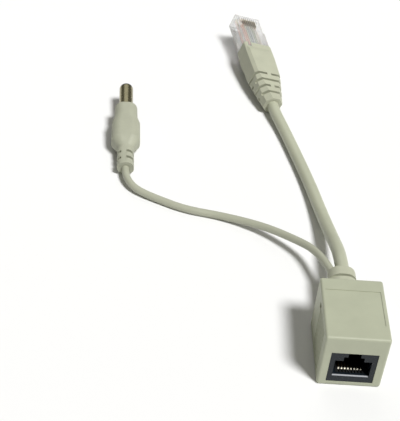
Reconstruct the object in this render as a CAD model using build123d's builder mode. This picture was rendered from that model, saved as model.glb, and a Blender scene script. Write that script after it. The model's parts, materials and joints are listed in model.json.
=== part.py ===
from build123d import *
from math import degrees, radians, tan
import os

os.makedirs("parts", exist_ok=True)

# All sizes are in millimetres and all angles in degrees.
# The box stands on its base, its socket faces -Y and both leads leave it towards +Y.

# Housing, its width, height and depth follow from what is inside
side_wall = 1.6
front_wall = 1.6
floor_wall = 1.8
roof_wall = 1.8
shell_edge = 0.8
socket_side_room = 0.55
head_room = 3.9
fit_gap = 0.1

# Shallow panel in the roof
panel_margin = 1.3
panel_front_margin = 6.2
panel_back_margin = 5.4
panel_depth = 0.22

# Upright grip grooves in both sides
groove_count = 8
groove_pitch = 1.6
groove_width = 0.7
groove_depth = 0.35
groove_margin = 2.2
groove_centre = -3.4

# Rear cover, held by two snap arms
cover_thickness = 1.6
snap_height = 2.4
snap_window_length = 1.8
snap_window_inset = 9.5
snap_arm_thickness = 1.0
snap_barb = 0.8
snap_slope = 0.56
snap_drop = 3.6

# Ledges and circuit board above the socket
ledge_gap = 0.35
ledge_height = 1.4
board_thickness = 1.2
board_front_inset = 3.2
board_length = 18.6
pin_hole = 0.9

# Socket, 8 positions and 8 contacts, with its latch slot on top
window_width = 15.0
window_height = 13.2
socket_recess = 0.15
socket_depth = 18.0
port_width = 11.7
port_height = 6.8
port_floor = 2.8
port_depth = 13.0
port_lip = 0.5
latch_step_width = 6.5
latch_step_height = 1.7
latch_slot_width = 4.0
flange_width = 0.7
flange_thickness = 1.8
flange_height = 7.0
peg_diameter = 2.4
peg_spacing = 11.0
peg_inset = 6.5

# Contacts and the insert that carries them
contact_count = 8
contact_pitch = 1.016
contact_width = 0.46
contact_thickness = 0.34
contact_bend = 0.5
contact_front = 2.0
contact_free_depth = 9.8
contact_free_height = 6.6
contact_run_height = 2.35
tail_first_row = 15.4
tail_row_gap = 1.6
tail_standout = 0.6
carrier_front = 1.3
carrier_skin = 0.8
carrier_border = 0.9
carrier_wall = 1.4
carrier_wall_height = 9.6
contact_clearance = 0.06

# Leads
cable_diameter = 4.7
cable_side = 0.1
lead_diameter = 2.8
lead_side = -3.7
exit_height = 10.9

# Grommet that holds both leads in the rear cover
grommet_flange_thickness = 1.5
grommet_flange_step = 1.0
grommet_body_step = 0.15
grommet_middle = -0.45
grommet_wall = 0.3
grommet_height = 8.3
grommet_length = 13.5
grommet_taper = 1.6
grommet_core_wall = 0.15
grommet_slot_first = 2.3
grommet_slot_pitch = 3.0
grommet_slot_rows = 3
grommet_slot_width = 1.1
grommet_web = 2.2
grommet_edge = 0.4

# Coloured cores inside the box
core_diameter = 1.0
core_spacing = 1.15
core_row_gap = 1.15
core_hole_pitch = 1.8
core_upper_row = 2.1
core_lower_row = 3.8
core_bend = 0.7
core_stub = 0.6
core_standout = 0.8
power_core_diameter = 0.9
power_core_spacing = 1.3
power_hole_margin = 2.65
power_hole_pitch = 1.6

# Plug with 8 contacts on the cable's far end
plug_width = 11.68
plug_length = 21.5
plug_overlap = 1.5
plug_front_height = 6.6
plug_rear_rise = 0.7
plug_step_start = 9.4
plug_step_end = 11.0
plug_edge = 0.3
blade_count = 8
blade_pitch = 1.016
blade_thickness = 0.34
blade_length = 4.2
blade_height = 1.9
blade_front = 1.6
blade_recess = 0.3
blade_gap = 0.06
wire_diameter = 0.95
wire_front = 1.3
wire_gap = 0.03
latch_root_width = 6.1
latch_arm_width = 4.0
latch_thickness = 1.1
latch_root = 1.6
latch_shoulder = 8.0
latch_tip = 15.0
latch_drop = 3.6
latch_bend = 1.0
latch_edge = 0.2
latch_joint = 0.3

# Boot moulded over the plug's back end and the cable
boot_length = 35.1
boot_front_wall = 0.7
boot_front_height = 9.2
boot_rise = 0.3
boot_swell = 27.8
boot_swell_wall = 0.86
boot_waist = 16.3
boot_waist_width = 12.6
boot_waist_height = 9.0
boot_relief = 6.1
boot_relief_width = 10.2
boot_relief_height = 8.2
boot_end_width = 7.6
boot_corner = 1.2
boot_end_corner = 2.2
boot_lip_length = 5.5
boot_lip_step = 0.35
boot_notch_width = 1.7
boot_notch_length = 2.4
boot_notch_depth = 0.9
boot_notch_side = 4.1
boot_slot_first = 3.5
boot_slot_pitch = 3.57
boot_slot_rows = 4
boot_slot_width = 1.2
boot_core_wall = 0.6
boot_web = 1.9
mouth_depth = 0.8
mouth_gap = 0.35
guard_thickness = 1.2
guard_spacing = 7.0
guard_drop = 2.1
guard_back = 20.0
guard_foot = 28.0

# Power plug on the thin lead, with a round barrel
grip_length = 34.2
barrel_length = 12.9
barrel_diameter = 5.5
barrel_wall = 0.35
barrel_root = 5.0
barrel_neck_step = 0.25
barrel_flange_step = 0.4
tip_length = 0.9
tip_step = 0.1
tip_taper = 15.0
socket_bore = 2.1
socket_wall = 0.3
socket_recess_depth = 1.0
grip_relief_diameter = 6.3
grip_relief_length = 10.2
grip_shoulder_length = 4.0
grip_body_width = 11.2
grip_body_height = 9.6
grip_body_length = 9.5
grip_neck_start = 27.2
grip_neck_width = 9.15
grip_nose_width = 8.9
grip_nose_edge = 1.4
grip_corner_share = 0.4
grip_cap = 1.8
grip_slot_first = 2.5
grip_slot_pitch = 3.4
grip_slot_rows = 2
grip_slot_width = 1.2
grip_web = 2.0
grip_core_wall = 0.45

# Where the two plugs lie on the table: the middle of each rear end, and how each is turned
boot_end_side = -18.95
boot_end_reach = 132.3
boot_end_height = 4.1
boot_heading = 12.55
boot_pitch = 6.7
boot_roll = 18.0
grip_end_side = -77.18
grip_end_reach = 84.95
grip_end_height = 3.46
grip_heading = 3.3
grip_pitch = 5.6

# Sizes that follow from those above
board_depth = front_wall + board_front_inset + board_length
shell_depth = board_depth + grommet_flange_thickness + cover_thickness
front_face = shell_depth / 2
socket_width = window_width - 2 * fit_gap
socket_height = window_height - fit_gap
socket_front = front_face - socket_recess
cavity_width = socket_width + 2 * (flange_width + socket_side_room)
cavity_height = socket_height + board_thickness + head_room
shell_width = cavity_width + 2 * side_wall
shell_height = cavity_height + floor_wall + roof_wall
ledge_width = (cavity_width - socket_width) / 2 - ledge_gap
board_underside = floor_wall + socket_height
board_front = front_face - front_wall - board_front_inset
board_back = board_front - board_length
cover_inside = front_face - cover_thickness
snap_level = shell_height - snap_drop
snap_reach = snap_window_inset + snap_window_length / 2 - cover_thickness
leads_middle = (cable_side + cable_diameter / 2 + lead_side - lead_diameter / 2) / 2
leads_span = cable_side + cable_diameter / 2 - lead_side + lead_diameter / 2
grommet_width = 2 * (grommet_middle - lead_side + lead_diameter / 2 + grommet_wall)
grommet_inside = cover_inside - grommet_flange_thickness
grommet_outside = front_face + grommet_length
carrier_width = (contact_count - 1) * contact_pitch + contact_width + 2 * carrier_border
plug_nose = boot_length + plug_length - plug_overlap
grip_front = grip_length


def travel_direction(heading, pitch):
    """Direction of a plug's nose: level and towards +Y, tilted up, then turned to the left."""
    return Vector(0, 1, 0).rotate(Axis.X, pitch).rotate(Axis.Z, heading)


def right_hand(heading, roll, nose_direction):
    """The plug's right-hand side seen from behind, rolled about the plug's own axis."""
    level = Vector(1, 0, 0).rotate(Axis.Z, heading)
    return level.rotate(Axis((0, 0, 0), nose_direction), roll)


boot_end = Vector(boot_end_side, boot_end_reach, boot_end_height)
boot_axis = travel_direction(boot_heading, boot_pitch)
boot_right = right_hand(boot_heading, boot_roll, boot_axis)
boot_section = Plane(origin=boot_end, x_dir=boot_right * -1, z_dir=boot_axis)
boot_side = Plane(origin=boot_end, x_dir=boot_axis, z_dir=boot_right)

grip_end = Vector(grip_end_side, grip_end_reach, grip_end_height)
grip_axis = travel_direction(grip_heading, grip_pitch)
grip_right = right_hand(grip_heading, 0, grip_axis)
grip_section = Plane(origin=grip_end, x_dir=grip_right * -1, z_dir=grip_axis)


def write_part(piece, name):
    """Labels a finished piece and writes it as one STEP file."""
    piece.label = name
    export_step(piece, f"parts/{name}.step")


def slot_outline(reach, core_width, core_height, web, web_on_sides):
    """Sketch of one strain relief slot: all round the core, apart from two webs."""
    Rectangle(reach, reach)
    SlotOverall(core_width, core_height, mode=Mode.SUBTRACT)
    if web_on_sides:
        Rectangle(reach, web, mode=Mode.SUBTRACT)
    else:
        Rectangle(web, reach, mode=Mode.SUBTRACT)


def round_slot_outline(reach, core_diameter_here, web, web_on_sides):
    """The same slot round a core with a round section."""
    Rectangle(reach, reach)
    Circle(core_diameter_here / 2, mode=Mode.SUBTRACT)
    if web_on_sides:
        Rectangle(reach, web, mode=Mode.SUBTRACT)
    else:
        Rectangle(web, reach, mode=Mode.SUBTRACT)


# Housing shell: one moulded sleeve, open at the back
with BuildPart() as housing_shell:
    with BuildSketch(Plane.XY):
        Rectangle(shell_width, shell_depth)
    extrude(amount=shell_height)
    fillet(housing_shell.edges(), radius=shell_edge)
    with BuildSketch(Plane.XZ.offset(-front_face)):
        with Locations((0, floor_wall + cavity_height / 2)):
            Rectangle(cavity_width, cavity_height)
    extrude(amount=shell_depth - front_wall, mode=Mode.SUBTRACT)
    with BuildSketch(Plane.XZ.offset(front_face)):
        with Locations((0, floor_wall + window_height / 2)):
            Rectangle(window_width, window_height)
    extrude(amount=-front_wall, mode=Mode.SUBTRACT)
    panel_length = shell_depth - panel_front_margin - panel_back_margin
    with BuildSketch(Plane.XY.offset(shell_height)):
        with Locations((0, (panel_front_margin - panel_back_margin) / 2)):
            Rectangle(shell_width - 2 * panel_margin, panel_length)
    extrude(amount=-panel_depth, mode=Mode.SUBTRACT)
    for side in (-1, 1):
        with BuildSketch(Plane.YZ.offset(side * shell_width / 2)):
            with Locations((groove_centre, shell_height / 2)):
                with GridLocations(groove_pitch, 1, groove_count, 1):
                    Rectangle(groove_width, shell_height - 2 * groove_margin)
        extrude(amount=-side * groove_depth, mode=Mode.SUBTRACT)
        with BuildSketch(Plane.YZ.offset(side * shell_width / 2)):
            with Locations((front_face - snap_window_inset, snap_level)):
                Rectangle(snap_window_length, snap_height)
        extrude(amount=-side * side_wall, mode=Mode.SUBTRACT)
    with BuildSketch(Plane.XY.offset(board_underside)):
        for side in (-1, 1):
            with Locations((side * (cavity_width - ledge_width) / 2, (-board_front - board_back) / 2)):
                Rectangle(ledge_width, board_length)
    extrude(amount=-ledge_height)
write_part(housing_shell.part, "housing_shell")

# Rear cover: a plate inside the sleeve, with a port for the grommet and two snap arms
with BuildPart() as rear_cover:
    with BuildSketch(Plane.XZ.offset(-front_face)):
        with Locations((0, floor_wall + cavity_height / 2)):
            Rectangle(cavity_width - 2 * fit_gap, cavity_height - 2 * fit_gap)
        with Locations((grommet_middle, exit_height)):
            SlotOverall(grommet_width + 2 * fit_gap, grommet_height + 2 * fit_gap, mode=Mode.SUBTRACT)
    extrude(amount=cover_thickness)
    arm_height = snap_height - 4 * fit_gap
    barb_length = snap_window_length - 4 * fit_gap
    arm_middle = (cavity_width - 2 * fit_gap - snap_arm_thickness) / 2
    for side in (-1, 1):
        with BuildSketch(Plane.XZ.offset(-cover_inside)):
            with Locations((side * arm_middle, snap_level)):
                Rectangle(snap_arm_thickness, arm_height)
        extrude(amount=snap_reach)
        with BuildSketch(Plane.YZ.offset(side * (cavity_width / 2 - fit_gap))):
            with Locations((front_face - snap_window_inset, snap_level)):
                Rectangle(barb_length, arm_height)
        extrude(amount=side * snap_barb)
    barb_tips = rear_cover.faces().filter_by(Axis.X).group_by(Axis.X)
    for tip_face in (barb_tips[0][0], barb_tips[-1][0]):
        chamfer(tip_face.edges().filter_by(Axis.Z).sort_by(Axis.Y)[0], length=snap_slope)
write_part(rear_cover.part, "rear_cover")

# Socket body: port with a stepped latch slot, open below for the contact insert
with BuildPart() as jack_body:
    with BuildSketch(Plane.XZ.offset(socket_front)):
        with Locations((0, floor_wall + socket_height / 2)):
            Rectangle(socket_width, socket_height)
    extrude(amount=-socket_depth)
    with BuildSketch(Plane.XZ.offset(front_face - front_wall - fit_gap)):
        with Locations((0, floor_wall + socket_height / 2)):
            Rectangle(socket_width + 2 * flange_width, flange_height)
    extrude(amount=-flange_thickness)
    port_base = floor_wall + port_floor
    step_base = port_base + port_height
    slot_base = step_base + latch_step_height
    with BuildSketch(Plane.XZ.offset(socket_front)):
        with Locations((0, port_base + port_height / 2)):
            Rectangle(port_width, port_height)
        with Locations((0, step_base + latch_step_height / 2)):
            Rectangle(latch_step_width, latch_step_height)
        with Locations((0, (slot_base + board_underside) / 2)):
            Rectangle(latch_slot_width, board_underside - slot_base)
    extrude(amount=-port_depth, mode=Mode.SUBTRACT)
    mouth_edges = jack_body.faces().sort_by(Axis.Y)[0].edges().filter_by(Axis.X)
    fillet(mouth_edges.filter_by_position(Axis.Z, port_base - fit_gap, port_base + fit_gap), radius=port_lip)
    insert_depth = socket_depth - carrier_front
    with BuildSketch(Plane.XZ.offset(socket_front - carrier_front)):
        with Locations((0, floor_wall + (carrier_skin + port_floor) / 2)):
            Rectangle(carrier_width + 2 * fit_gap, port_floor - carrier_skin)
    extrude(amount=-insert_depth, mode=Mode.SUBTRACT)
    with BuildSketch(Plane.XZ.offset(socket_front - port_depth)):
        with Locations((0, floor_wall + (carrier_skin + carrier_wall_height + fit_gap) / 2)):
            Rectangle(carrier_width + 2 * fit_gap, carrier_wall_height + fit_gap - carrier_skin)
    extrude(amount=-(socket_depth - port_depth), mode=Mode.SUBTRACT)
    tail_slot_depth = port_depth + carrier_wall + fit_gap
    with BuildSketch(Plane.XZ.offset(socket_front - tail_slot_depth)):
        with Locations((0, floor_wall + (carrier_skin + socket_height) / 2)):
            Rectangle(carrier_width + 2 * fit_gap, socket_height - carrier_skin)
    extrude(amount=-(socket_depth - tail_slot_depth), mode=Mode.SUBTRACT)
    with BuildSketch(Plane.XY.offset(board_underside)):
        with Locations((0, peg_inset - socket_front)):
            with GridLocations(peg_spacing, 1, 2, 1):
                Circle(peg_diameter / 2)
    extrude(amount=board_thickness)
write_part(jack_body.part, "jack_body")

# Contact insert: a grooved tongue under the port and a wall that closes the port's back
contact_sides = [(number - (contact_count - 1) / 2) * contact_pitch for number in range(contact_count)]
with BuildPart() as contact_carrier:
    tongue_length = port_depth + carrier_wall - carrier_front - fit_gap
    with BuildSketch(Plane.XZ.offset(socket_front - carrier_front - fit_gap)):
        with Locations((0, floor_wall + (carrier_skin + port_floor) / 2)):
            Rectangle(carrier_width, port_floor - carrier_skin)
    extrude(amount=-tongue_length)
    with BuildSketch(Plane.XZ.offset(socket_front - port_depth)):
        with Locations((0, floor_wall + (carrier_skin + carrier_wall_height) / 2)):
            Rectangle(carrier_width, carrier_wall_height - carrier_skin)
    extrude(amount=-carrier_wall)
    groove_floor = contact_run_height - contact_thickness / 2 - contact_clearance
    with BuildSketch(Plane.XZ.offset(socket_front - carrier_front)):
        for contact_x in contact_sides:
            with Locations((contact_x, floor_wall + (groove_floor + port_floor) / 2)):
                Rectangle(contact_width + 2 * contact_clearance, port_floor - groove_floor)
    extrude(amount=-(tongue_length + fit_gap), mode=Mode.SUBTRACT)
write_part(contact_carrier.part, "jack_contact_carrier")


def socket_point(side_offset, depth, height):
    """A point of the socket, by its depth behind the socket's face and height above its underside."""
    return (side_offset, depth - socket_front, floor_wall + height)


# Eight spring contacts, each one bent strip from its free end to its tail through the board
for number, contact_x in enumerate(contact_sides):
    tail_depth = tail_first_row + (number % 2) * tail_row_gap
    with BuildPart() as jack_contact:
        with BuildLine() as strip:
            FilletPolyline(
                socket_point(contact_x, contact_free_depth, contact_free_height),
                socket_point(contact_x, contact_front, contact_run_height),
                socket_point(contact_x, tail_depth, contact_run_height),
                socket_point(contact_x, tail_depth, socket_height + board_thickness + tail_standout),
                radius=[contact_bend / 2, contact_bend],
            )
        with BuildSketch(Plane(origin=strip.line @ 0, x_dir=(1, 0, 0), z_dir=strip.line % 0)):
            Rectangle(contact_width, contact_thickness)
        sweep(path=strip.line)
    write_part(jack_contact.part, f"jack_contact_{number + 1}")

# Circuit board: lies on the socket and the ledges, takes the contact tails and the cores
core_columns = [(column - 1.5) for column in range(4)]
power_hole_first = fit_gap - cavity_width / 2 + power_hole_margin
power_columns = [power_hole_first, power_hole_first + power_hole_pitch]
with BuildPart() as circuit_board:
    with BuildSketch(Plane.XY.offset(board_underside)):
        with Locations((0, (-board_front - board_back) / 2)):
            Rectangle(cavity_width - 2 * fit_gap, board_length)
        with Locations((0, peg_inset - socket_front)):
            with GridLocations(peg_spacing, 1, 2, 1):
                Circle(peg_diameter / 2 + fit_gap / 2, mode=Mode.SUBTRACT)
        for number, contact_x in enumerate(contact_sides):
            tail_depth = tail_first_row + (number % 2) * tail_row_gap
            with Locations((contact_x, tail_depth - socket_front)):
                Circle(pin_hole / 2, mode=Mode.SUBTRACT)
        for row_inset in (core_upper_row, core_lower_row):
            for column in core_columns:
                with Locations((cable_side + column * core_hole_pitch, grommet_inside - row_inset)):
                    Circle(core_diameter / 2 + fit_gap, mode=Mode.SUBTRACT)
        for power_x in power_columns:
            with Locations((power_x, grommet_inside - core_upper_row)):
                Circle(power_core_diameter / 2 + fit_gap, mode=Mode.SUBTRACT)
    extrude(amount=board_thickness)
write_part(circuit_board.part, "circuit_board")


def write_core(start, hole_x, hole_y, diameter, name):
    """Sweeps one insulated core: level out of the grommet, across to its hole, then up through it."""
    core_top = board_underside + board_thickness + core_standout
    with BuildPart() as core:
        with BuildLine() as core_path:
            FilletPolyline(
                start,
                (start[0], start[1] - core_stub, start[2]),
                (hole_x, hole_y, start[2]),
                (hole_x, hole_y, core_top),
                radius=core_bend,
            )
        with BuildSketch(Plane(origin=core_path.line @ 0, z_dir=core_path.line % 0)):
            Circle(diameter / 2)
        sweep(path=core_path.line)
    write_part(core.part, name)


# Eight cores of the cable, in two rows of four
core_rows = ((core_upper_row, core_row_gap / 2), (core_lower_row, -core_row_gap / 2))
for row, (row_inset, level) in enumerate(core_rows):
    for order, column in enumerate(core_columns):
        core_start = (cable_side + column * core_spacing, grommet_inside, exit_height + level)
        core_hole_x = cable_side + column * core_hole_pitch
        core_name = f"data_core_{row * len(core_columns) + order + 1}"
        write_core(core_start, core_hole_x, grommet_inside - row_inset, core_diameter, core_name)

# Two cores of the thin lead
for order, power_x in enumerate(power_columns):
    core_start = (lead_side + (order - 0.5) * power_core_spacing, grommet_inside, exit_height)
    core_hole_y = grommet_inside - core_upper_row
    write_core(core_start, power_x, core_hole_y, power_core_diameter, f"power_core_{order + 1}")

# Grommet: moulded over both leads, gripping the rear cover between its flange and its body
with BuildPart() as cable_grommet:
    with BuildSketch(Plane.XZ.offset(-cover_inside)):
        with Locations((grommet_middle, exit_height)):
            SlotOverall(grommet_width + 2 * grommet_flange_step, grommet_height + 2 * grommet_flange_step)
    extrude(amount=grommet_flange_thickness)
    with BuildSketch(Plane.XZ.offset(-cover_inside)):
        with Locations((grommet_middle, exit_height)):
            SlotOverall(grommet_width, grommet_height)
    extrude(amount=-cover_thickness)
    with BuildSketch(Plane.XZ.offset(-front_face)):
        with Locations((grommet_middle, exit_height)):
            SlotOverall(grommet_width + 2 * grommet_body_step, grommet_height + 2 * grommet_body_step)
    extrude(amount=-grommet_length, taper=grommet_taper)
    fillet(cable_grommet.faces().sort_by(Axis.Y)[-1].edges(), radius=grommet_edge)
    for row in range(grommet_slot_rows):
        slot_station = front_face + grommet_slot_first + row * grommet_slot_pitch
        with BuildSketch(Plane.XZ.offset(-slot_station)):
            with Locations((leads_middle, exit_height)):
                slot_outline(
                    2 * grommet_width,
                    leads_span + 2 * grommet_core_wall,
                    cable_diameter + 2 * grommet_core_wall,
                    grommet_web,
                    row % 2 == 0,
                )
        extrude(amount=-grommet_slot_width, mode=Mode.SUBTRACT)
write_part(cable_grommet.part, "cable_grommet")

# Clear plug body with its latch, in one piece
plug_half = plug_front_height / 2
blade_top = plug_half - blade_recess
wire_level = blade_top - blade_height - blade_gap - wire_diameter / 2
plug_sides = [(number - (blade_count - 1) / 2) * blade_pitch for number in range(blade_count)]
wire_back = boot_length
with BuildPart() as plug_body:
    with BuildSketch(boot_side):
        with BuildLine():
            Polyline(
                (plug_nose, -plug_half),
                (plug_nose, plug_half),
                (plug_nose - plug_step_start, plug_half),
                (plug_nose - plug_step_end, plug_half + plug_rear_rise),
                (plug_nose - plug_length, plug_half + plug_rear_rise),
                (plug_nose - plug_length, -plug_half),
                close=True,
            )
        make_face()
    extrude(amount=plug_width / 2, both=True)
    nose_edges = plug_body.faces().sort_by(Axis(boot_end, boot_axis))[-1].edges()
    fillet(nose_edges, radius=plug_edge)
    with BuildSketch(boot_side):
        with BuildLine():
            latch_line = FilletPolyline(
                (plug_nose - latch_root - latch_thickness, -plug_half),
                (plug_nose - latch_root - latch_thickness / 2, -plug_half - latch_thickness),
                (plug_nose - latch_tip, -plug_half - latch_drop),
                (plug_nose - latch_tip, -plug_half - latch_drop - latch_thickness),
                (plug_nose - latch_root + latch_thickness / 2, -plug_half - latch_thickness),
                (plug_nose - latch_root + latch_thickness / 2, -plug_half + plug_edge),
                (plug_nose - latch_root - latch_thickness, -plug_half + plug_edge),
                radius=[latch_edge, latch_joint, latch_edge, latch_bend, latch_edge],
                close=False,
            )
            Line(latch_line @ 1, latch_line @ 0)
        make_face()
    extrude(amount=latch_root_width / 2, both=True)
    for side in (-1, 1):
        with BuildSketch(boot_side.offset(side * latch_arm_width / 2)):
            with Locations((plug_nose - latch_shoulder, -plug_half - latch_thickness / 2)):
                Rectangle(
                    plug_length,
                    plug_length,
                    align=(Align.MAX, Align.MAX),
                )
        extrude(amount=side * latch_root_width, mode=Mode.SUBTRACT)
    with BuildSketch(boot_section.offset(plug_nose + plug_edge)):
        for blade_x in plug_sides:
            with Locations((blade_x, blade_top - blade_height - blade_gap / 2)):
                Rectangle(
                    blade_thickness + 2 * blade_gap,
                    plug_front_height,
                    align=(Align.CENTER, Align.MIN),
                )
    extrude(amount=-(blade_front + blade_length + blade_gap + plug_edge), mode=Mode.SUBTRACT)
    with BuildSketch(boot_section.offset(wire_back)):
        for blade_x in plug_sides:
            with Locations((blade_x, wire_level)):
                Circle(wire_diameter / 2 + wire_gap)
    extrude(amount=plug_nose - wire_back - wire_front, mode=Mode.SUBTRACT)
write_part(plug_body.part, "plug_body")

# Eight blades and the eight cores that they pierce
for number, blade_x in enumerate(plug_sides):
    with BuildPart() as plug_blade:
        with BuildSketch(boot_section.offset(plug_nose - blade_front)):
            with Locations((blade_x, blade_top - blade_height / 2)):
                Rectangle(blade_thickness, blade_height)
        extrude(amount=-blade_length)
    write_part(plug_blade.part, f"plug_blade_{number + 1}")
    with BuildPart() as plug_wire:
        with BuildSketch(boot_section.offset(wire_back)):
            with Locations((blade_x, wire_level)):
                Circle(wire_diameter / 2)
        extrude(amount=plug_nose - wire_back - wire_front - wire_gap)
    write_part(plug_wire.part, f"plug_core_{number + 1}")

# Boot: square collar on the plug, tapering to a slotted strain relief on the cable
boot_front_width = plug_width + 2 * boot_front_wall
boot_swell_width = plug_width + 2 * boot_swell_wall
boot_stations = (
    (0, boot_end_width, boot_end_width, boot_end_corner, 0),
    (boot_relief, boot_relief_width, boot_relief_height, boot_end_corner, 0),
    (boot_waist, boot_waist_width, boot_waist_height, boot_corner, boot_rise),
    (boot_swell, boot_swell_width, boot_front_height, boot_corner, boot_rise),
    (boot_length, boot_front_width, boot_front_height, boot_corner, boot_rise),
)
with BuildPart() as plug_boot:
    for station, width, height, corner, rise in boot_stations:
        with BuildSketch(boot_section.offset(station)) as boot_outline:
            with Locations((0, rise)):
                Rectangle(width, height)
            chamfer(boot_outline.vertices(), length=corner)
    loft(ruled=True)
    guard_top = boot_rise - boot_front_height / 2
    with BuildSketch(boot_side):
        with BuildLine():
            Polyline(
                (guard_back, guard_top + boot_front_wall),
                (guard_back, guard_top),
                (guard_foot, guard_top - guard_drop),
                (boot_length, guard_top - guard_drop),
                (boot_length, guard_top + boot_front_wall),
                close=True,
            )
        make_face()
    extrude(amount=(guard_spacing + guard_thickness) / 2, both=True)
    with BuildSketch(boot_section.offset(boot_length)):
        with Locations((0, guard_top)):
            Rectangle(guard_spacing - guard_thickness, 2 * guard_drop, align=(Align.CENTER, Align.MAX))
    extrude(amount=-boot_length, mode=Mode.SUBTRACT)
    with BuildSketch(boot_section.offset(boot_length)):
        with Locations((0, boot_rise + boot_front_height / 2 - boot_lip_step)):
            Rectangle(2 * boot_front_width, boot_front_height, align=(Align.CENTER, Align.MIN))
    extrude(amount=-boot_lip_length, mode=Mode.SUBTRACT)
    with BuildSketch(boot_section.offset(boot_length)):
        with Locations((boot_notch_side, boot_rise + boot_front_height / 2 - boot_lip_step)):
            Rectangle(boot_notch_width, 2 * boot_notch_depth)
    extrude(amount=-boot_notch_length, mode=Mode.SUBTRACT)
    for row in range(boot_slot_rows):
        with BuildSketch(boot_section.offset(boot_slot_first + row * boot_slot_pitch)):
            round_slot_outline(
                2 * boot_front_width,
                cable_diameter + 2 * boot_core_wall,
                boot_web,
                row % 2 == 0,
            )
        extrude(amount=boot_slot_width, mode=Mode.SUBTRACT)
    with BuildSketch(boot_section):
        Circle(cable_diameter / 2 + mouth_gap)
    extrude(amount=mouth_depth, mode=Mode.SUBTRACT)
    with BuildSketch(boot_side):
        with BuildLine():
            Polyline(
                (boot_length + fit_gap, -plug_half - fit_gap / 2),
                (boot_length + fit_gap, plug_half + plug_rear_rise + fit_gap / 2),
                (plug_nose - plug_length - fit_gap / 2, plug_half + plug_rear_rise + fit_gap / 2),
                (plug_nose - plug_length - fit_gap / 2, -plug_half - fit_gap / 2),
                close=True,
            )
        make_face()
    extrude(amount=plug_width / 2 + fit_gap / 2, both=True, mode=Mode.SUBTRACT)
write_part(plug_boot.part, "plug_boot")

# Power plug: moulded grip lofted from the lead to a soft square body and a round nose
barrel_neck_radius = barrel_diameter / 2 - barrel_neck_step
grip_body_end = grip_relief_length + grip_shoulder_length + grip_body_length
grip_stations = (
    (0, grip_relief_diameter, grip_relief_diameter),
    (grip_relief_length, grip_relief_diameter, grip_relief_diameter),
    (grip_relief_length + grip_shoulder_length, grip_body_width, grip_body_height),
    (grip_body_end, grip_body_width, grip_body_height),
    (grip_neck_start, grip_neck_width, grip_neck_width),
    (grip_front, grip_nose_width, grip_nose_width),
)
with BuildPart() as dc_plug_grip:
    for station, width, height in grip_stations:
        with BuildSketch(grip_section.offset(station)):
            RectangleRounded(width, height, min(width, height) * grip_corner_share)
    loft(ruled=True)
    nose_rim = dc_plug_grip.faces().sort_by(Axis(grip_end, grip_axis))[-1].edges()
    fillet(nose_rim, radius=grip_nose_edge)
    for row in range(grip_slot_rows):
        with BuildSketch(grip_section.offset(grip_slot_first + row * grip_slot_pitch)):
            round_slot_outline(
                2 * grip_body_width,
                lead_diameter + 2 * grip_core_wall,
                grip_web,
                False,
            )
        extrude(amount=grip_slot_width, mode=Mode.SUBTRACT)
    with BuildSketch(grip_section):
        Circle(lead_diameter / 2 + mouth_gap)
    extrude(amount=mouth_depth, mode=Mode.SUBTRACT)
    with BuildSketch(grip_section.offset(grip_front)):
        Circle(barrel_neck_radius + fit_gap / 2)
    extrude(amount=-barrel_root, mode=Mode.SUBTRACT)
    with BuildSketch(grip_section.offset(grip_front - grip_cap)):
        Circle(barrel_neck_radius + barrel_flange_step + fit_gap / 2)
    extrude(amount=-(barrel_root - grip_cap + fit_gap), mode=Mode.SUBTRACT)
write_part(dc_plug_grip.part, "dc_plug_grip")

# Barrel of the power plug: outer sleeve on a narrower neck with a flange behind the grip's cap
barrel_end = grip_front + barrel_length
sleeve_start = grip_front - barrel_root
with BuildPart() as dc_plug_sleeve:
    with BuildSketch(grip_section.offset(sleeve_start)):
        Circle(barrel_neck_radius)
    extrude(amount=barrel_root)
    with BuildSketch(grip_section.offset(grip_front)):
        Circle(barrel_diameter / 2)
    extrude(amount=barrel_length - tip_length)
    with BuildSketch(grip_section.offset(sleeve_start)):
        Circle(barrel_neck_radius + barrel_flange_step)
    extrude(amount=barrel_root - grip_cap - fit_gap)
    with BuildSketch(grip_section.offset(sleeve_start)):
        Circle(barrel_neck_radius - barrel_wall)
    extrude(amount=barrel_root + barrel_wall, mode=Mode.SUBTRACT)
    with BuildSketch(grip_section.offset(grip_front + barrel_wall)):
        Circle(barrel_diameter / 2 - barrel_wall)
    extrude(amount=barrel_length, mode=Mode.SUBTRACT)
write_part(dc_plug_sleeve.part, "dc_plug_sleeve")

# Insulating core that fills the sleeve, with a tapered black tip
socket_outer = socket_bore / 2 + socket_wall
with BuildPart() as dc_plug_insulator:
    with BuildSketch(grip_section.offset(sleeve_start)):
        Circle(barrel_neck_radius - barrel_wall - fit_gap / 2)
    extrude(amount=barrel_root + barrel_wall + fit_gap)
    with BuildSketch(grip_section.offset(grip_front + barrel_wall + fit_gap / 2)):
        Circle(barrel_diameter / 2 - barrel_wall - fit_gap / 2)
    extrude(amount=barrel_length - tip_length - barrel_wall - fit_gap / 2)
    with BuildSketch(grip_section.offset(barrel_end - tip_length)):
        Circle(barrel_diameter / 2 - tip_step)
    extrude(amount=tip_length, taper=tip_taper)
    with BuildSketch(grip_section.offset(sleeve_start)):
        Circle(socket_outer + fit_gap / 2)
    extrude(amount=barrel_root + barrel_length, mode=Mode.SUBTRACT)
write_part(dc_plug_insulator.part, "dc_plug_insulator")

with BuildPart() as dc_plug_socket:
    with BuildSketch(grip_section.offset(sleeve_start)):
        Circle(socket_outer)
    extrude(amount=barrel_root + barrel_length - socket_recess_depth)
    with BuildSketch(grip_section.offset(barrel_end)):
        Circle(socket_bore / 2)
    extrude(amount=-barrel_length, mode=Mode.SUBTRACT)
write_part(dc_plug_socket.part, "dc_plug_socket")

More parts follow.
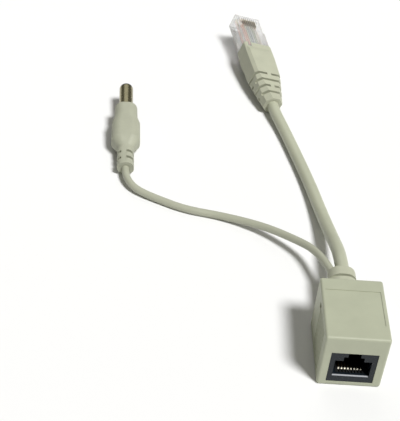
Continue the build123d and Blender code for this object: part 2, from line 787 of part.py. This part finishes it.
# Routes of the two leads, from the grommet's end to the mouth of each plug
boot_lead_in = 4.5
cable_end = boot_end + boot_axis * mouth_depth
cable_route = [
    Vector(cable_side, grommet_outside, exit_height),
    Vector(cable_side, 35.5, exit_height),
    Vector(-1.0, 48.6, 7.1),
    Vector(-3.1, 65.0, 3.7),
    Vector(-6.2, 84.0, 2.38),
    Vector(-11.4, 105.5, 2.38),
    Vector(-15.1, 119.6, 2.6),
    boot_end - boot_axis * boot_lead_in,
    cable_end,
]
grip_lead_in = 2.5
lead_end = grip_end + grip_axis * mouth_depth
lead_route = [
    Vector(lead_side, grommet_outside, exit_height),
    Vector(lead_side, 32.0, exit_height),
    Vector(-8.0, 40.3, 8.6),
    Vector(-14.0, 47.5, 6.3),
    Vector(-25.0, 56.5, 3.8),
    Vector(-39.5, 63.3, 1.45),
    Vector(-53.5, 65.6, 1.45),
    Vector(-63.6, 70.2, 1.5),
    Vector(-69.5, 73.0, 1.75),
    Vector(-73.2, 75.4, 2.2),
    Vector(-75.7, 78.6, 2.75),
    grip_end - grip_axis * grip_lead_in,
    lead_end,
]
arc_share = 0.45


def corner_radii(route):
    """Radius of the arc at each inner point: as large as its two runs allow."""
    radii = []
    for before, corner, after in zip(route, route[1:], route[2:]):
        arriving = corner - before
        leaving = after - corner
        half_turn = radians(arriving.get_angle(leaving)) / 2
        radii.append(arc_share * min(arriving.length, leaving.length) / tan(half_turn))
    return radii


def write_lead(route, diameter, name):
    """Sweeps one lead along straight runs joined by tangent arcs, and reports its sizes."""
    radii = corner_radii(route)
    with BuildPart() as lead:
        with BuildLine():
            lead_path = FilletPolyline(*route, radius=radii)
        with BuildSketch(Plane(origin=lead_path @ 0, z_dir=lead_path % 0)) as section:
            Circle(diameter / 2)
        sweep(path=lead_path)
    runs = [finish - start for start, finish in zip(route, route[1:])]
    turns = [arriving.get_angle(leaving) for arriving, leaving in zip(runs, runs[1:])]
    print(name, "length", round(lead_path.length, 1), "volume", round(lead.part.volume, 1))
    print("  section by length", round(section.sketch.area * lead_path.length, 1))
    print("  runs", [round(run.length, 1) for run in runs])
    print("  turns", [round(turn, 1) for turn in turns])
    print("  radii", [round(radius, 1) for radius in radii])
    write_part(lead.part, name)


write_lead(cable_route, cable_diameter, "patch_cable")
write_lead(lead_route, lead_diameter, "dc_lead")
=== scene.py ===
import json
import math

import bmesh
import bpy
from mathutils import Matrix, Quaternion, Vector


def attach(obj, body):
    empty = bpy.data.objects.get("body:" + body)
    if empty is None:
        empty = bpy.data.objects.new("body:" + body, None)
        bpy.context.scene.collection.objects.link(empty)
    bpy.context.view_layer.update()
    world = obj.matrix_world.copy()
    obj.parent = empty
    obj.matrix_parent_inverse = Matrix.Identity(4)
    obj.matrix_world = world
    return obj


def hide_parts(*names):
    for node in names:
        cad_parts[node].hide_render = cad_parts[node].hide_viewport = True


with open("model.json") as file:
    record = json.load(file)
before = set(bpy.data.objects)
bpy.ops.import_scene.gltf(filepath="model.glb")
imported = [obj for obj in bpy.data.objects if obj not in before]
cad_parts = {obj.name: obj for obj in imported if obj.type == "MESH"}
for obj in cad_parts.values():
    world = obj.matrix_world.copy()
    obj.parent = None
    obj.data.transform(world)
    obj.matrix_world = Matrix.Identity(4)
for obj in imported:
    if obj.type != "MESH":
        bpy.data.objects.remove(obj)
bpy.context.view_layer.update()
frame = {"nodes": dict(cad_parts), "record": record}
nodes = frame["nodes"]
MM = 0.001
CONTACT_NUMBERS = range(1, 9)


def mm(x, y, z):
    """A point given in millimetres, as metres."""
    return Vector((x, y, z)) * MM


def add_object(name, data):
    """A new object in the scene, at the origin."""
    made = bpy.data.objects.new(name, data)
    bpy.context.scene.collection.objects.link(made)
    return made


def shine_from(light, source):
    """Turns a light so that it comes from a direction."""
    light.rotation_mode = "QUATERNION"
    light.rotation_quaternion = source.to_track_quat("Z", "Y")


# Camera: at the photograph's place, looking down at the box from its front left
CAMERA_PLACE = mm(-65.64, -242.58, 266.83)
CAMERA_HEADING = 3.23
CAMERA_DOWN = 40.69
CAMERA_ROLL = 5.96
CAMERA_NEAR = 0.01
CAMERA_FAR = 20
LONG_SIDE = 421
FOCAL_PIXELS = 1100
SENSOR = 36.0


def place_camera():
    """The photograph's camera, with its focal length worked out for the picture's long side."""
    heading, down = math.radians(CAMERA_HEADING), math.radians(CAMERA_DOWN)
    aim = Vector((
        math.sin(heading) * math.cos(down),
        math.cos(heading) * math.cos(down),
        -math.sin(down),
    ))
    data = bpy.data.cameras.new("camera")
    data.sensor_width = SENSOR
    data.lens = SENSOR * FOCAL_PIXELS / LONG_SIDE
    data.clip_start = CAMERA_NEAR
    data.clip_end = CAMERA_FAR
    camera = add_object("camera", data)
    camera.location = CAMERA_PLACE
    camera.rotation_mode = "QUATERNION"
    roll = Quaternion((0, 0, 1), math.radians(CAMERA_ROLL))
    camera.rotation_quaternion = aim.to_track_quat("-Z", "Y") @ roll
    bpy.context.scene.camera = camera


place_camera()

# Plugs: the middle of each one's rear end, and how it is turned on the table
BOOT_END = mm(-18.95, 132.3, 4.1)
BOOT_HEADING = 12.55
BOOT_PITCH = 6.7
BOOT_ROLL = 18.0
GRIP_END = mm(-77.18, 84.95, 3.46)
GRIP_HEADING = 3.3
GRIP_PITCH = 5.6


def plug_frame(end, heading, pitch, roll):
    """Matrix of a plug's own axes: X to its right, Y to its nose, Z up through its contact side."""
    turn = Matrix.Rotation(math.radians(heading), 4, "Z") @ Matrix.Rotation(math.radians(pitch), 4, "X")
    return Matrix.Translation(end) @ turn @ Matrix.Rotation(math.radians(roll), 4, "Y")


boot_frame = plug_frame(BOOT_END, BOOT_HEADING, BOOT_PITCH, BOOT_ROLL)
grip_frame = plug_frame(GRIP_END, GRIP_HEADING, GRIP_PITCH, 0)

# Leads: the routes' points, listed from the grommet's end to the mouth of each plug
CABLE_DIAMETER = 4.7
LEAD_DIAMETER = 2.8
MOUTH_DEPTH = 0.8
BOOT_LEAD_IN = 4.5
GRIP_LEAD_IN = 2.5
STEPS_ALONG = 16
STEPS_ROUND = 7


def on_axis(plug, distance):
    """A point on a plug's axis, so many millimetres towards its nose."""
    return plug @ Vector((0, distance * MM, 0))


CABLE_ROUTE = [
    mm(0.1, 26.75, 10.9),
    mm(0.1, 35.5, 10.9),
    mm(-1.0, 48.6, 7.1),
    mm(-3.1, 65.0, 3.7),
    mm(-6.2, 84.0, 2.38),
    mm(-11.4, 105.5, 2.38),
    mm(-15.1, 119.6, 2.6),
    on_axis(boot_frame, -BOOT_LEAD_IN),
    on_axis(boot_frame, MOUTH_DEPTH),
]
LEAD_ROUTE = [
    mm(-3.7, 26.75, 10.9),
    mm(-3.9, 29.3, 10.6),
    mm(-8.0, 40.3, 8.6),
    mm(-14.0, 47.5, 6.3),
    mm(-25.0, 56.5, 3.8),
    mm(-39.5, 63.3, 1.45),
    mm(-53.5, 65.6, 1.45),
    mm(-63.6, 70.2, 1.5),
    mm(-69.5, 73.0, 1.75),
    mm(-73.2, 75.4, 2.2),
    mm(-75.7, 78.6, 2.75),
    on_axis(grip_frame, -GRIP_LEAD_IN),
    on_axis(grip_frame, MOUTH_DEPTH),
]


def lay_cord(name, route, diameter):
    """One round cord on a smooth curve with the route's points as its control points.

    The tube's section is one metre times each point's own radius, so that the curve's box is the cord's.
    """
    data = bpy.data.curves.new(name, "CURVE")
    data.dimensions = "3D"
    data.resolution_u = STEPS_ALONG
    data.bevel_depth = 1.0
    data.bevel_resolution = STEPS_ROUND
    data.use_fill_caps = True
    spline = data.splines.new("NURBS")
    spline.points.add(len(route) - 1)
    for control, point in zip(spline.points, route):
        control.co = (*point, 1)
        control.radius = diameter * MM / 2
    spline.order_u = 3
    spline.use_endpoint_u = True
    cord = add_object(name, data)
    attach(cord, "root")
    return cord


patch_cord = lay_cord("patch_cable_jacket", CABLE_ROUTE, CABLE_DIAMETER)
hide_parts("patch_cable")
lead_cord = lay_cord("dc_lead_jacket", LEAD_ROUTE, LEAD_DIAMETER)
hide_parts("dc_lead")

# Soft mouldings: their solids with every crease rounded, as vinyl leaves the mould
BOOT_ROUNDING = 0.22
GRIP_ROUNDING = 0.2
GROMMET_ROUNDING = 0.15
ROUNDING_STEPS = 3
MERGE = 0.01 * MM
FLAT_ANGLE = math.radians(1.5)
CREASE_ANGLE = math.radians(24)
SMOOTH_ANGLE = math.radians(32)

# Mouths: how wide they are, and how near to the rim the vinyl closes round the cord
BOOT_MOUTH = 5.6
GRIP_MOUTH = 3.7
RIM_DEPTH = 0.06

# Collar on the boot, in the plug's own millimetres: where it starts, and the slope that replaces it
COLLAR_START = 29.6
COLLAR_LEVEL = 4.55
COLLAR_FOOT = 32.6
COLLAR_LOW = 3.98
COLLAR_RISE = 0.128
COLLAR_NEAR = 0.01

# Slotted end of the grip, in the plug's own millimetres, and its turn in degrees
RELIEF_END = 9.0
RELIEF_TURN = -14.0


def close_mouth(shape, plug, mouth):
    """Brings the floor of the mouth out to its rim, where the vinyl closes round the cord."""
    into = plug.inverted()
    floor = []
    for vert in shape.verts:
        place = into @ vert.co
        on_floor = abs(place.y - MOUTH_DEPTH * MM) < MERGE
        if on_floor and math.hypot(place.x, place.z) < mouth / 2 * MM:
            floor.append(vert)
    outwards = plug.to_3x3() @ Vector((0, (RIM_DEPTH - MOUTH_DEPTH) * MM, 0))
    bmesh.ops.translate(shape, verts=floor, vec=outwards)


def slope_collar(shape):
    """Lets the boot's crown fall away to the collar in a slope, as in the photograph."""
    into = boot_frame.inverted()
    for vert in shape.verts:
        place = (into @ vert.co) / MM
        if abs(place.z - COLLAR_LEVEL) < COLLAR_NEAR and place.y > COLLAR_START - COLLAR_NEAR:
            place.y = max(place.y, COLLAR_FOOT)
            place.z = COLLAR_LOW + (place.y - COLLAR_FOOT) * COLLAR_RISE
            vert.co = boot_frame @ (place * MM)


def turn_relief(shape):
    """Turns the grip's slotted end about the lead, as far as it is turned in the photograph."""
    into = grip_frame.inverted()
    relief = [vert for vert in shape.verts if (into @ vert.co).y < RELIEF_END * MM]
    axis = grip_frame.to_3x3() @ Vector((0, 1, 0))
    turn = Matrix.Rotation(math.radians(RELIEF_TURN), 3, axis)
    bmesh.ops.rotate(shape, verts=relief, cent=GRIP_END, matrix=turn)


def mould_soft(name, node, rounding, plug=None, mouth=0.0, reshape=None):
    """A copy of a node's mesh, merged and cleaned, with its creases rounded."""
    shape = bmesh.new()
    shape.from_mesh(nodes[node].data)
    bmesh.ops.remove_doubles(shape, verts=shape.verts, dist=MERGE)
    if plug:
        close_mouth(shape, plug, mouth)
    if reshape:
        reshape(shape)
    bmesh.ops.dissolve_limit(shape, angle_limit=FLAT_ANGLE, verts=shape.verts, edges=shape.edges)
    mesh = bpy.data.meshes.new(name)
    shape.to_mesh(mesh)
    shape.free()
    for face in mesh.polygons:
        face.use_smooth = True
    mesh.set_sharp_from_angle(angle=SMOOTH_ANGLE)
    piece = add_object(name, mesh)
    creases = piece.modifiers.new("creases", "BEVEL")
    creases.width = rounding * MM
    creases.segments = ROUNDING_STEPS
    creases.limit_method = "ANGLE"
    creases.angle_limit = CREASE_ANGLE
    evened = piece.modifiers.new("evened", "WEIGHTED_NORMAL")
    evened.keep_sharp = True
    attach(piece, "root")
    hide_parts(node)
    return piece


soft_boot = mould_soft("boot_moulding", "plug_boot", BOOT_ROUNDING, boot_frame, BOOT_MOUTH, slope_collar)
soft_grip = mould_soft("grip_moulding", "dc_plug_grip", GRIP_ROUNDING, grip_frame, GRIP_MOUTH, turn_relief)
soft_grommet = mould_soft("grommet_moulding", "cable_grommet", GROMMET_ROUNDING)

# Finishes: where the socket's lip gets a painted highlight, where painted shade darkens its springs, and
# the board's weave
# Painted highlight: the band of the port's lower lip that is coloured pale, in the socket's millimetres
LIP_DEPTHS = (-13.2, -12.6)
LIP_HEIGHTS = (4.33, 4.64)
LIP_SIDES = (-5.85, 5.85)
# Painted shade on the springs: from their front bend to where their colour is fully dark
SPRING_BEND = -10.4
SPRING_SHADED = -9.9
WEAVE = 2200
WEAVE_LIGHT = 1.35
NOISE_ROUGHNESS = 0.55


class Finish:
    """A node material built step by step around one Principled shader.

    Waves are counted per metre, and depths are in millimetres.
    """

    def __init__(self, name, roughness, metallic=0.0, ior=1.5):
        self.material = bpy.data.materials.new(name)
        self.material.use_nodes = True
        self.tree = self.material.node_tree
        self.shader = self.tree.nodes["Principled BSDF"]
        self.shader.inputs["Roughness"].default_value = roughness
        self.shader.inputs["Metallic"].default_value = metallic
        self.shader.inputs["IOR"].default_value = ior
        self.where = self.tree.nodes.new("ShaderNodeTexCoord").outputs["Object"]

    def noise(self, waves, detail):
        """Noise over the piece."""
        texture = self.tree.nodes.new("ShaderNodeTexNoise")
        texture.inputs["Scale"].default_value = waves
        texture.inputs["Detail"].default_value = detail
        texture.inputs["Roughness"].default_value = NOISE_ROUGHNESS
        self.tree.links.new(self.where, texture.inputs["Vector"])
        return texture.outputs["Fac"]

    def place(self, axis):
        """How far along an axis a point of the piece lies."""
        split = self.tree.nodes.new("ShaderNodeSeparateXYZ")
        self.tree.links.new(self.where, split.inputs["Vector"])
        return split.outputs[axis]

    def along(self, axis, start, end):
        """Nothing at the start and one at the end of a stretch of an axis, given in millimetres."""
        stretch = self.tree.nodes.new("ShaderNodeMapRange")
        stretch.inputs["From Min"].default_value = start * MM
        stretch.inputs["From Max"].default_value = end * MM
        self.tree.links.new(self.place(axis), stretch.inputs["Value"])
        return stretch.outputs["Result"]

    def within(self, axis, low, high):
        """One between two places along an axis, in millimetres, and nothing outside them."""
        compare = self.tree.nodes.new("ShaderNodeMath")
        compare.operation = "COMPARE"
        compare.inputs[1].default_value = (low + high) / 2 * MM
        compare.inputs[2].default_value = (high - low) / 2 * MM
        self.tree.links.new(self.place(axis), compare.inputs[0])
        return compare.outputs["Value"]

    def times(self, one, other):
        """Two factors multiplied."""
        product = self.tree.nodes.new("ShaderNodeMath")
        product.operation = "MULTIPLY"
        self.tree.links.new(one, product.inputs[0])
        self.tree.links.new(other, product.inputs[1])
        return product.outputs["Value"]

    def ramp(self, factor, low, high, start=0.35, end=0.65):
        """Turns a factor into a colour or a grey between low and high."""
        node = self.tree.nodes.new("ShaderNodeValToRGB")
        for stop, position, level in zip(node.color_ramp.elements, (start, end), (low, high)):
            stop.position = position
            stop.color = (*level, 1) if isinstance(level, tuple) else (level, level, level, 1)
        self.tree.links.new(factor, node.inputs["Fac"])
        return node.outputs["Color"]

    def set(self, socket, output):
        """Feeds one of the shader's sockets."""
        self.tree.links.new(output, self.shader.inputs[socket])

    def cloud(self, colour, shade, waves, detail=3):
        """Colour with a faint cloud of a darker shade, a share of it, drifting through."""
        darker = tuple(channel * shade for channel in colour)
        self.set("Base Color", self.ramp(self.noise(waves, detail), darker, colour))

    def uneven(self, roughness, less, more, waves, detail=3):
        """Gloss that varies a little over the piece."""
        self.set("Roughness", self.ramp(self.noise(waves, detail), roughness - less, roughness + more))

    def bump(self, waves, detail, depth, strength=1.0):
        """Relief too fine to be modelled."""
        node = self.tree.nodes.new("ShaderNodeBump")
        node.inputs["Strength"].default_value = strength
        node.inputs["Distance"].default_value = depth * MM
        self.tree.links.new(self.noise(waves, detail), node.inputs["Height"])
        self.set("Normal", node.outputs["Normal"])


def moulded_plastic(name, colour, roughness, grain_depth=0.012):
    """Opaque moulded plastic: a faint cloud in the colour, uneven gloss and a fine spark-eroded grain."""
    finish = Finish(name, roughness)
    finish.cloud(colour, shade=0.94, waves=120)
    finish.uneven(roughness, less=0.05, more=0.06, waves=700)
    finish.bump(waves=9000, detail=2, depth=grain_depth)
    return finish.material


def socket_plastic(name, colour, highlight_colour, roughness):
    """Slate plastic of the socket, with a painted highlight: the port's lower lip coloured pale grey."""
    finish = Finish(name, roughness, ior=1.36)
    # painted highlight: a pale band along the port's lower lip, where a bright line of light falls
    lip = finish.times(finish.within("Y", *LIP_DEPTHS), finish.within("Z", *LIP_HEIGHTS))
    lip = finish.times(lip, finish.within("X", *LIP_SIDES))
    finish.set("Base Color", finish.ramp(lip, colour, highlight_colour, start=0, end=1))
    finish.uneven(roughness, less=0.05, more=0.06, waves=700)
    finish.bump(waves=9000, detail=2, depth=0.012)
    return finish.material


def soft_vinyl(name, colour, roughness):
    """Soft overmoulded vinyl: smoother than the box, with slow waves from shrinkage."""
    finish = Finish(name, roughness)
    finish.cloud(colour, shade=0.93, waves=160)
    finish.uneven(roughness, less=0.06, more=0.06, waves=900)
    finish.bump(waves=1800, detail=3, depth=0.02)
    return finish.material


def jacket_vinyl(name, colour, roughness):
    """Extruded cable jacket: satin, with faint ripples where the cores press from inside."""
    finish = Finish(name, roughness)
    finish.cloud(colour, shade=0.95, waves=90, detail=2)
    finish.uneven(roughness, less=0.05, more=0.05, waves=600)
    finish.bump(waves=420, detail=2, depth=0.05, strength=0.6)
    return finish.material


def worked_metal(name, colour, roughness, spread=0.05, marks=2500, mark_depth=0.004):
    """Plated or turned metal with fine uneven polish."""
    finish = Finish(name, roughness, metallic=1.0)
    finish.cloud(colour, shade=0.88, waves=600)
    finish.uneven(roughness, less=spread, more=spread, waves=1500)
    finish.bump(waves=marks, detail=3, depth=mark_depth)
    return finish.material


def sprung_contacts(name, plating, dark, roughness):
    """Gold springs, bright at their front bend, with painted shade: their colour runs to near black where
    they go back into the port.
    """
    finish = Finish(name, roughness, metallic=1.0)
    # painted shade: from the front bend backwards the colour fades to near black, where the port's roof
    # shades the springs
    run = finish.along("Y", SPRING_BEND, SPRING_SHADED)
    finish.set("Base Color", finish.ramp(run, plating, dark, start=0, end=1))
    finish.uneven(roughness, less=0.06, more=0.08, waves=1500)
    finish.bump(waves=2500, detail=3, depth=0.004)
    return finish.material


def clear_plastic(name, tint, roughness, clearness, cover):
    """Clear polycarbonate with a little haze in it and slight flow waves in its surface."""
    finish = Finish(name, roughness, ior=1.36)
    finish.shader.inputs["Base Color"].default_value = (*tint, 1)
    finish.shader.inputs["Transmission Weight"].default_value = clearness
    finish.shader.inputs["Alpha"].default_value = cover
    finish.uneven(roughness, less=0.4 * roughness, more=0.6 * roughness, waves=500, detail=2)
    finish.bump(waves=260, detail=2, depth=0.03, strength=0.5)
    return finish.material


def board_mask(name, colour, roughness):
    """Green solder mask with the weave of the glass cloth just showing."""
    finish = Finish(name, roughness)
    light = tuple(channel * WEAVE_LIGHT for channel in colour)
    finish.set("Base Color", finish.ramp(finish.noise(WEAVE, detail=1), colour, light))
    finish.bump(waves=WEAVE, detail=1, depth=0.01)
    return finish.material


# Colours of the finishes
BOX_GREY = (0.425, 0.445, 0.33)
VINYL_GREY = (0.455, 0.465, 0.355)
GRIP_GREY = (0.405, 0.415, 0.32)
JACKET_GREY = (0.455, 0.470, 0.355)
LEAD_GREY = (0.41, 0.42, 0.325)
SLATE = (0.007, 0.011, 0.015)
# painted highlight colour for the port's lower lip
PAINTED_LIP_HIGHLIGHT = (0.31, 0.32, 0.34)
INSERT_BLACK = (0.012, 0.013, 0.014)
TIP_BLACK = (0.008, 0.008, 0.009)
BLADE_GOLD = (0.82, 0.70, 0.48)
SPRING_GOLD = (0.47, 0.45, 0.37)
# painted shade colour at the back of the springs
SPRING_PAINTED_SHADE = (0.003, 0.002, 0.001)
BARREL_BRONZE = (0.37, 0.34, 0.21)
CLEAR_TINT = (0.99, 0.99, 0.98)
MASK_GREEN = (0.01, 0.09, 0.03)

# Cores, the cable's eight from left to right as the photograph shows them in the clear plug
CABLE_CORES = {
    "core_orange_white": (0.90, 0.58, 0.50),
    "core_orange": (0.90, 0.50, 0.42),
    "core_green_white": (0.66, 0.74, 0.60),
    "core_blue": (0.40, 0.44, 0.47),
    "core_blue_white": (0.66, 0.70, 0.70),
    "core_green": (0.40, 0.48, 0.36),
    "core_brown_white": (0.80, 0.74, 0.66),
    "core_brown": (0.58, 0.50, 0.42),
}
POWER_CORES = {
    "core_red": (0.50, 0.01, 0.01),
    "core_black": (0.012, 0.012, 0.012),
}

soft_grey = soft_vinyl("soft_grey", VINYL_GREY, roughness=0.62)
grip_grey = soft_vinyl("grip_grey", GRIP_GREY, roughness=0.62)
cable_grey = jacket_vinyl("cable_grey", JACKET_GREY, roughness=0.42)
lead_grey = jacket_vinyl("lead_grey", LEAD_GREY, roughness=0.42)
spring_gold = sprung_contacts("spring_gold", SPRING_GOLD, SPRING_PAINTED_SHADE, roughness=0.42)
SLOT_FINISHES = {
    "housing_abs": moulded_plastic("box_plastic", BOX_GREY, roughness=0.48),
    "jack_plastic": socket_plastic("slate_plastic", SLATE, PAINTED_LIP_HIGHLIGHT, roughness=0.3),
    "insert_plastic": moulded_plastic("black_plastic", INSERT_BLACK, roughness=0.42),
    "gold_contact": worked_metal("gold_plate", BLADE_GOLD, roughness=0.34),
    "board": board_mask("board_green", MASK_GREEN, roughness=0.35),
    "cable_pvc": cable_grey,
    "lead_pvc": lead_grey,
    "soft_pvc": soft_grey,
    "clear_polycarbonate": clear_plastic(
        "clear_polycarbonate", CLEAR_TINT, roughness=0.08, clearness=0.86, cover=0.68,
    ),
    "barrel_metal": worked_metal(
        "barrel_metal", BARREL_BRONZE, roughness=0.27, spread=0.01, marks=900, mark_depth=0.0001,
    ),
    "tip_plastic": moulded_plastic("tip_black", TIP_BLACK, roughness=0.5, grain_depth=0.004),
}
for slot_name, colour in (CABLE_CORES | POWER_CORES).items():
    SLOT_FINISHES[slot_name] = moulded_plastic(slot_name, colour, roughness=0.4, grain_depth=0.006)


def dress(piece, material):
    """Gives a piece one material in place of whatever it had."""
    piece.data.materials.clear()
    piece.data.materials.append(material)


for part in frame["record"]["subparts"]:
    dress(nodes[part["node"]], SLOT_FINISHES[part["material_slot"]])
for number in CONTACT_NUMBERS:
    dress(nodes[f"jack_contact_{number}"], spring_gold)
for number, slot_name in zip(CONTACT_NUMBERS, reversed(CABLE_CORES)):
    dress(nodes[f"plug_core_{number}"], SLOT_FINISHES[slot_name])
dress(patch_cord, cable_grey)
dress(lead_cord, lead_grey)
dress(soft_boot, soft_grey)
dress(soft_grommet, soft_grey)
dress(soft_grip, grip_grey)

# Studio: a pale paper floor, one soft key light, a card of light behind and an even, dimmer surround
KEY_FROM = Vector((0.41, -0.40, 1.0))
KEY_STRENGTH = 3.45
KEY_ANGLE = 15.0
CARD_FROM = Vector((-0.12, 0.75, 0.66))
CARD_DISTANCE = 1.2
CARD_SIZE = 0.8
CARD_POWER = 1.5
SURROUND = 0.17
SURROUND_TINT = (1.0, 0.985, 0.88, 1)
FLOOR_SIZE = 12.0
FLOOR_GREY = (0.85, 0.85, 0.85)


def lay_floor():
    """One flat sheet of pale paper under the object."""
    mesh = bpy.data.meshes.new("floor")
    shape = bmesh.new()
    bmesh.ops.create_grid(shape, x_segments=1, y_segments=1, size=FLOOR_SIZE / 2)
    shape.to_mesh(mesh)
    shape.free()
    floor = add_object("floor", mesh)
    paper = Finish("floor_paper", roughness=0.9)
    paper.cloud(FLOOR_GREY, shade=0.99, waves=3, detail=4)
    dress(floor, paper.material)


def light_studio():
    """The key light, the card and the surround."""
    key_data = bpy.data.lights.new("key", "SUN")
    key_data.energy = KEY_STRENGTH
    key_data.angle = math.radians(KEY_ANGLE)
    shine_from(add_object("key", key_data), KEY_FROM)
    card_data = bpy.data.lights.new("card", "AREA")
    card_data.shape = "SQUARE"
    card_data.size = CARD_SIZE
    card_data.energy = CARD_POWER
    card = add_object("card", card_data)
    card.location = CARD_FROM.normalized() * CARD_DISTANCE
    shine_from(card, CARD_FROM)
    world = bpy.data.worlds.new("surround")
    world.use_nodes = True
    background = world.node_tree.nodes["Background"]
    background.inputs["Color"].default_value = SURROUND_TINT
    background.inputs["Strength"].default_value = SURROUND
    bpy.context.scene.world = world
    bpy.context.scene.view_settings.view_transform = "Standard"


lay_floor()
light_studio()

PLUG_NODES = ["plug_body"]
PLUG_NODES += [f"plug_blade_{n}" for n in CONTACT_NUMBERS] + [f"plug_core_{n}" for n in CONTACT_NUMBERS]
